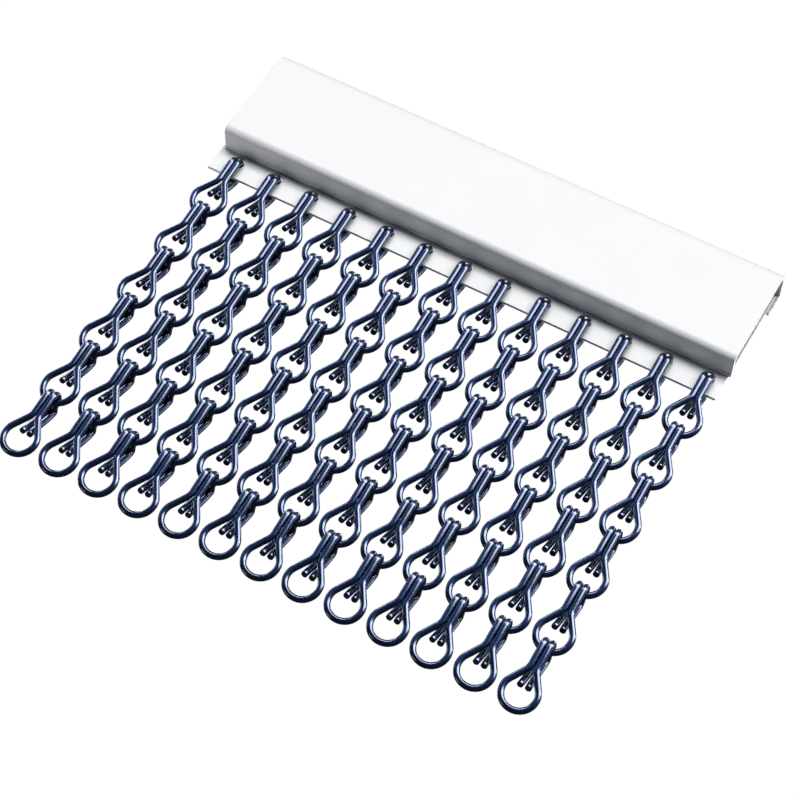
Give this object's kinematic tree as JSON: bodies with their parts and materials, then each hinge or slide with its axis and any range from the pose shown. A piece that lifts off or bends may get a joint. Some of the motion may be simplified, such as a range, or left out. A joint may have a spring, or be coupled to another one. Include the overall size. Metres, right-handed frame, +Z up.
{
  "type": "chain curtain",
  "caption": "Hanging chain curtain: strands of bent anodised aluminium wire links hooked into the holes of a strip that a C-shaped powder-coated rail cover holds.",
  "frame": {"origin": "middle of the flat top of the rail's cover, which is fixed up under a lintel", "axes": "+X along the rail to the right as seen from the front, +Y to the back, +Z up; the front faces -Y and the strands hang down -Z"},
  "size_m": [0.1953, 0.0167, 0.1826],
  "materials": {
    "powder_coat_white": "satin white powder coat",
    "powder_coat_white_strip": "satin white powder coat",
    "anodised_navy": "bright dark blue anodised"
  },
  "bodies": {
    "rail": {"carrier_strip": "powder_coat_white_strip", "cover": "powder_coat_white"},
    "strand_01_link_1": {"strand_01_link_1": "anodised_navy"},
    "strand_01_links_2_3": {"strand_01_links_2_3": "anodised_navy"},
    "strand_01_links_4_5": {"strand_01_links_4_5": "anodised_navy"},
    "strand_01_link_6": {"strand_01_link_6": "anodised_navy"},
    "strand_02_link_1": {"strand_02_link_1": "anodised_navy"},
    "strand_02_links_2_3": {"strand_02_links_2_3": "anodised_navy"},
    "strand_02_links_4_5": {"strand_02_links_4_5": "anodised_navy"},
    "strand_02_link_6": {"strand_02_link_6": "anodised_navy"},
    "strand_03_link_1": {"strand_03_link_1": "anodised_navy"},
    "strand_03_links_2_3": {"strand_03_links_2_3": "anodised_navy"},
    "strand_03_links_4_5": {"strand_03_links_4_5": "anodised_navy"},
    "strand_03_link_6": {"strand_03_link_6": "anodised_navy"},
    "strand_04_link_1": {"strand_04_link_1": "anodised_navy"},
    "strand_04_links_2_3": {"strand_04_links_2_3": "anodised_navy"},
    "strand_04_links_4_5": {"strand_04_links_4_5": "anodised_navy"},
    "strand_04_link_6": {"strand_04_link_6": "anodised_navy"},
    "strand_05_link_1": {"strand_05_link_1": "anodised_navy"},
    "strand_05_links_2_3": {"strand_05_links_2_3": "anodised_navy"},
    "strand_05_links_4_5": {"strand_05_links_4_5": "anodised_navy"},
    "strand_05_link_6": {"strand_05_link_6": "anodised_navy"},
    "strand_06_link_1": {"strand_06_link_1": "anodised_navy"},
    "strand_06_links_2_3": {"strand_06_links_2_3": "anodised_navy"},
    "strand_06_links_4_5": {"strand_06_links_4_5": "anodised_navy"},
    "strand_06_link_6": {"strand_06_link_6": "anodised_navy"},
    "strand_07_link_1": {"strand_07_link_1": "anodised_navy"},
    "strand_07_links_2_3": {"strand_07_links_2_3": "anodised_navy"},
    "strand_07_links_4_5": {"strand_07_links_4_5": "anodised_navy"},
    "strand_07_link_6": {"strand_07_link_6": "anodised_navy"},
    "strand_08_link_1": {"strand_08_link_1": "anodised_navy"},
    "strand_08_links_2_3": {"strand_08_links_2_3": "anodised_navy"},
    "strand_08_links_4_5": {"strand_08_links_4_5": "anodised_navy"},
    "strand_08_link_6": {"strand_08_link_6": "anodised_navy"},
    "strand_09_link_1": {"strand_09_link_1": "anodised_navy"},
    "strand_09_links_2_3": {"strand_09_links_2_3": "anodised_navy"},
    "strand_09_links_4_5": {"strand_09_links_4_5": "anodised_navy"},
    "strand_09_link_6": {"strand_09_link_6": "anodised_navy"},
    "strand_10_link_1": {"strand_10_link_1": "anodised_navy"},
    "strand_10_links_2_3": {"strand_10_links_2_3": "anodised_navy"},
    "strand_10_links_4_5": {"strand_10_links_4_5": "anodised_navy"},
    "strand_10_link_6": {"strand_10_link_6": "anodised_navy"},
    "strand_11_link_1": {"strand_11_link_1": "anodised_navy"},
    "strand_11_links_2_3": {"strand_11_links_2_3": "anodised_navy"},
    "strand_11_links_4_5": {"strand_11_links_4_5": "anodised_navy"},
    "strand_11_link_6": {"strand_11_link_6": "anodised_navy"},
    "strand_12_link_1": {"strand_12_link_1": "anodised_navy"},
    "strand_12_links_2_3": {"strand_12_links_2_3": "anodised_navy"},
    "strand_12_links_4_5": {"strand_12_links_4_5": "anodised_navy"},
    "strand_12_link_6": {"strand_12_link_6": "anodised_navy"},
    "strand_13_link_1": {"strand_13_link_1": "anodised_navy"},
    "strand_13_links_2_3": {"strand_13_links_2_3": "anodised_navy"},
    "strand_13_links_4_5": {"strand_13_links_4_5": "anodised_navy"},
    "strand_13_link_6": {"strand_13_link_6": "anodised_navy"}
  },
  "joints": [
    {"name": "strand_01_link_1_hinge", "type": "hinge", "parent": "rail", "child": "strand_01_link_1", "pos_m": [-0.0894, 0.0039, -0.04724], "axis": [1, 0, 0], "range_deg": [-45, 8]},
    {"name": "strand_01_links_2_3_hinge", "type": "hinge", "parent": "strand_01_link_1", "child": "strand_01_links_2_3", "pos_m": [-0.0894, 0.0039, -0.06946], "axis": [1, 0, 0], "range_deg": [-45, 45]},
    {"name": "strand_01_links_4_5_hinge", "type": "hinge", "parent": "strand_01_links_2_3", "child": "strand_01_links_4_5", "pos_m": [-0.0894, 0.0039, -0.11441], "axis": [1, 0, 0], "range_deg": [-45, 45]},
    {"name": "strand_01_link_6_hinge", "type": "hinge", "parent": "strand_01_links_4_5", "child": "strand_01_link_6", "pos_m": [-0.0894, 0.0039, -0.15936], "axis": [1, 0, 0], "range_deg": [-45, 45]},
    {"name": "strand_02_link_1_hinge", "type": "hinge", "parent": "rail", "child": "strand_02_link_1", "pos_m": [-0.0744, 0.0039, -0.04724], "axis": [1, 0, 0], "range_deg": [-45, 8]},
    {"name": "strand_02_links_2_3_hinge", "type": "hinge", "parent": "strand_02_link_1", "child": "strand_02_links_2_3", "pos_m": [-0.0744, 0.0039, -0.06946], "axis": [1, 0, 0], "range_deg": [-45, 45]},
    {"name": "strand_02_links_4_5_hinge", "type": "hinge", "parent": "strand_02_links_2_3", "child": "strand_02_links_4_5", "pos_m": [-0.0744, 0.0039, -0.11441], "axis": [1, 0, 0], "range_deg": [-45, 45]},
    {"name": "strand_02_link_6_hinge", "type": "hinge", "parent": "strand_02_links_4_5", "child": "strand_02_link_6", "pos_m": [-0.0744, 0.0039, -0.15936], "axis": [1, 0, 0], "range_deg": [-45, 45]},
    {"name": "strand_03_link_1_hinge", "type": "hinge", "parent": "rail", "child": "strand_03_link_1", "pos_m": [-0.0594, 0.0039, -0.04724], "axis": [1, 0, 0], "range_deg": [-45, 8]},
    {"name": "strand_03_links_2_3_hinge", "type": "hinge", "parent": "strand_03_link_1", "child": "strand_03_links_2_3", "pos_m": [-0.0594, 0.0039, -0.06946], "axis": [1, 0, 0], "range_deg": [-45, 45]},
    {"name": "strand_03_links_4_5_hinge", "type": "hinge", "parent": "strand_03_links_2_3", "child": "strand_03_links_4_5", "pos_m": [-0.0594, 0.0039, -0.11441], "axis": [1, 0, 0], "range_deg": [-45, 45]},
    {"name": "strand_03_link_6_hinge", "type": "hinge", "parent": "strand_03_links_4_5", "child": "strand_03_link_6", "pos_m": [-0.0594, 0.0039, -0.15936], "axis": [1, 0, 0], "range_deg": [-45, 45]},
    {"name": "strand_04_link_1_hinge", "type": "hinge", "parent": "rail", "child": "strand_04_link_1", "pos_m": [-0.0444, 0.0039, -0.04724], "axis": [1, 0, 0], "range_deg": [-45, 8]},
    {"name": "strand_04_links_2_3_hinge", "type": "hinge", "parent": "strand_04_link_1", "child": "strand_04_links_2_3", "pos_m": [-0.0444, 0.0039, -0.06946], "axis": [1, 0, 0], "range_deg": [-45, 45]},
    {"name": "strand_04_links_4_5_hinge", "type": "hinge", "parent": "strand_04_links_2_3", "child": "strand_04_links_4_5", "pos_m": [-0.0444, 0.0039, -0.11441], "axis": [1, 0, 0], "range_deg": [-45, 45]},
    {"name": "strand_04_link_6_hinge", "type": "hinge", "parent": "strand_04_links_4_5", "child": "strand_04_link_6", "pos_m": [-0.0444, 0.0039, -0.15936], "axis": [1, 0, 0], "range_deg": [-45, 45]},
    {"name": "strand_05_link_1_hinge", "type": "hinge", "parent": "rail", "child": "strand_05_link_1", "pos_m": [-0.0294, 0.0039, -0.04724], "axis": [1, 0, 0], "range_deg": [-45, 8]},
    {"name": "strand_05_links_2_3_hinge", "type": "hinge", "parent": "strand_05_link_1", "child": "strand_05_links_2_3", "pos_m": [-0.0294, 0.0039, -0.06946], "axis": [1, 0, 0], "range_deg": [-45, 45]},
    {"name": "strand_05_links_4_5_hinge", "type": "hinge", "parent": "strand_05_links_2_3", "child": "strand_05_links_4_5", "pos_m": [-0.0294, 0.0039, -0.11441], "axis": [1, 0, 0], "range_deg": [-45, 45]},
    {"name": "strand_05_link_6_hinge", "type": "hinge", "parent": "strand_05_links_4_5", "child": "strand_05_link_6", "pos_m": [-0.0294, 0.0039, -0.15936], "axis": [1, 0, 0], "range_deg": [-45, 45]},
    {"name": "strand_06_link_1_hinge", "type": "hinge", "parent": "rail", "child": "strand_06_link_1", "pos_m": [-0.0144, 0.0039, -0.04724], "axis": [1, 0, 0], "range_deg": [-45, 8]},
    {"name": "strand_06_links_2_3_hinge", "type": "hinge", "parent": "strand_06_link_1", "child": "strand_06_links_2_3", "pos_m": [-0.0144, 0.0039, -0.06946], "axis": [1, 0, 0], "range_deg": [-45, 45]},
    {"name": "strand_06_links_4_5_hinge", "type": "hinge", "parent": "strand_06_links_2_3", "child": "strand_06_links_4_5", "pos_m": [-0.0144, 0.0039, -0.11441], "axis": [1, 0, 0], "range_deg": [-45, 45]},
    {"name": "strand_06_link_6_hinge", "type": "hinge", "parent": "strand_06_links_4_5", "child": "strand_06_link_6", "pos_m": [-0.0144, 0.0039, -0.15936], "axis": [1, 0, 0], "range_deg": [-45, 45]},
    {"name": "strand_07_link_1_hinge", "type": "hinge", "parent": "rail", "child": "strand_07_link_1", "pos_m": [0.0006, 0.0039, -0.04724], "axis": [1, 0, 0], "range_deg": [-45, 8]},
    {"name": "strand_07_links_2_3_hinge", "type": "hinge", "parent": "strand_07_link_1", "child": "strand_07_links_2_3", "pos_m": [0.0006, 0.0039, -0.06946], "axis": [1, 0, 0], "range_deg": [-45, 45]},
    {"name": "strand_07_links_4_5_hinge", "type": "hinge", "parent": "strand_07_links_2_3", "child": "strand_07_links_4_5", "pos_m": [0.0006, 0.0039, -0.11441], "axis": [1, 0, 0], "range_deg": [-45, 45]},
    {"name": "strand_07_link_6_hinge", "type": "hinge", "parent": "strand_07_links_4_5", "child": "strand_07_link_6", "pos_m": [0.0006, 0.0039, -0.15936], "axis": [1, 0, 0], "range_deg": [-45, 45]},
    {"name": "strand_08_link_1_hinge", "type": "hinge", "parent": "rail", "child": "strand_08_link_1", "pos_m": [0.0156, 0.0039, -0.04724], "axis": [1, 0, 0], "range_deg": [-45, 8]},
    {"name": "strand_08_links_2_3_hinge", "type": "hinge", "parent": "strand_08_link_1", "child": "strand_08_links_2_3", "pos_m": [0.0156, 0.0039, -0.06946], "axis": [1, 0, 0], "range_deg": [-45, 45]},
    {"name": "strand_08_links_4_5_hinge", "type": "hinge", "parent": "strand_08_links_2_3", "child": "strand_08_links_4_5", "pos_m": [0.0156, 0.0039, -0.11441], "axis": [1, 0, 0], "range_deg": [-45, 45]},
    {"name": "strand_08_link_6_hinge", "type": "hinge", "parent": "strand_08_links_4_5", "child": "strand_08_link_6", "pos_m": [0.0156, 0.0039, -0.15936], "axis": [1, 0, 0], "range_deg": [-45, 45]},
    {"name": "strand_09_link_1_hinge", "type": "hinge", "parent": "rail", "child": "strand_09_link_1", "pos_m": [0.0306, 0.0039, -0.04724], "axis": [1, 0, 0], "range_deg": [-45, 8]},
    {"name": "strand_09_links_2_3_hinge", "type": "hinge", "parent": "strand_09_link_1", "child": "strand_09_links_2_3", "pos_m": [0.0306, 0.0039, -0.06946], "axis": [1, 0, 0], "range_deg": [-45, 45]},
    {"name": "strand_09_links_4_5_hinge", "type": "hinge", "parent": "strand_09_links_2_3", "child": "strand_09_links_4_5", "pos_m": [0.0306, 0.0039, -0.11441], "axis": [1, 0, 0], "range_deg": [-45, 45]},
    {"name": "strand_09_link_6_hinge", "type": "hinge", "parent": "strand_09_links_4_5", "child": "strand_09_link_6", "pos_m": [0.0306, 0.0039, -0.15936], "axis": [1, 0, 0], "range_deg": [-45, 45]},
    {"name": "strand_10_link_1_hinge", "type": "hinge", "parent": "rail", "child": "strand_10_link_1", "pos_m": [0.0456, 0.0039, -0.04724], "axis": [1, 0, 0], "range_deg": [-45, 8]},
    {"name": "strand_10_links_2_3_hinge", "type": "hinge", "parent": "strand_10_link_1", "child": "strand_10_links_2_3", "pos_m": [0.0456, 0.0039, -0.06946], "axis": [1, 0, 0], "range_deg": [-45, 45]},
    {"name": "strand_10_links_4_5_hinge", "type": "hinge", "parent": "strand_10_links_2_3", "child": "strand_10_links_4_5", "pos_m": [0.0456, 0.0039, -0.11441], "axis": [1, 0, 0], "range_deg": [-45, 45]},
    {"name": "strand_10_link_6_hinge", "type": "hinge", "parent": "strand_10_links_4_5", "child": "strand_10_link_6", "pos_m": [0.0456, 0.0039, -0.15936], "axis": [1, 0, 0], "range_deg": [-45, 45]},
    {"name": "strand_11_link_1_hinge", "type": "hinge", "parent": "rail", "child": "strand_11_link_1", "pos_m": [0.0606, 0.0039, -0.04724], "axis": [1, 0, 0], "range_deg": [-45, 8]},
    {"name": "strand_11_links_2_3_hinge", "type": "hinge", "parent": "strand_11_link_1", "child": "strand_11_links_2_3", "pos_m": [0.0606, 0.0039, -0.06946], "axis": [1, 0, 0], "range_deg": [-45, 45]},
    {"name": "strand_11_links_4_5_hinge", "type": "hinge", "parent": "strand_11_links_2_3", "child": "strand_11_links_4_5", "pos_m": [0.0606, 0.0039, -0.11441], "axis": [1, 0, 0], "range_deg": [-45, 45]},
    {"name": "strand_11_link_6_hinge", "type": "hinge", "parent": "strand_11_links_4_5", "child": "strand_11_link_6", "pos_m": [0.0606, 0.0039, -0.15936], "axis": [1, 0, 0], "range_deg": [-45, 45]},
    {"name": "strand_12_link_1_hinge", "type": "hinge", "parent": "rail", "child": "strand_12_link_1", "pos_m": [0.0756, 0.0039, -0.04724], "axis": [1, 0, 0], "range_deg": [-45, 8]},
    {"name": "strand_12_links_2_3_hinge", "type": "hinge", "parent": "strand_12_link_1", "child": "strand_12_links_2_3", "pos_m": [0.0756, 0.0039, -0.06946], "axis": [1, 0, 0], "range_deg": [-45, 45]},
    {"name": "strand_12_links_4_5_hinge", "type": "hinge", "parent": "strand_12_links_2_3", "child": "strand_12_links_4_5", "pos_m": [0.0756, 0.0039, -0.11441], "axis": [1, 0, 0], "range_deg": [-45, 45]},
    {"name": "strand_12_link_6_hinge", "type": "hinge", "parent": "strand_12_links_4_5", "child": "strand_12_link_6", "pos_m": [0.0756, 0.0039, -0.15936], "axis": [1, 0, 0], "range_deg": [-45, 45]},
    {"name": "strand_13_link_1_hinge", "type": "hinge", "parent": "rail", "child": "strand_13_link_1", "pos_m": [0.0906, 0.0039, -0.04724], "axis": [1, 0, 0], "range_deg": [-45, 8]},
    {"name": "strand_13_links_2_3_hinge", "type": "hinge", "parent": "strand_13_link_1", "child": "strand_13_links_2_3", "pos_m": [0.0906, 0.0039, -0.06946], "axis": [1, 0, 0], "range_deg": [-45, 45]},
    {"name": "strand_13_links_4_5_hinge", "type": "hinge", "parent": "strand_13_links_2_3", "child": "strand_13_links_4_5", "pos_m": [0.0906, 0.0039, -0.11441], "axis": [1, 0, 0], "range_deg": [-45, 45]},
    {"name": "strand_13_link_6_hinge", "type": "hinge", "parent": "strand_13_links_4_5", "child": "strand_13_link_6", "pos_m": [0.0906, 0.0039, -0.15936], "axis": [1, 0, 0], "range_deg": [-45, 45]}
  ]
}
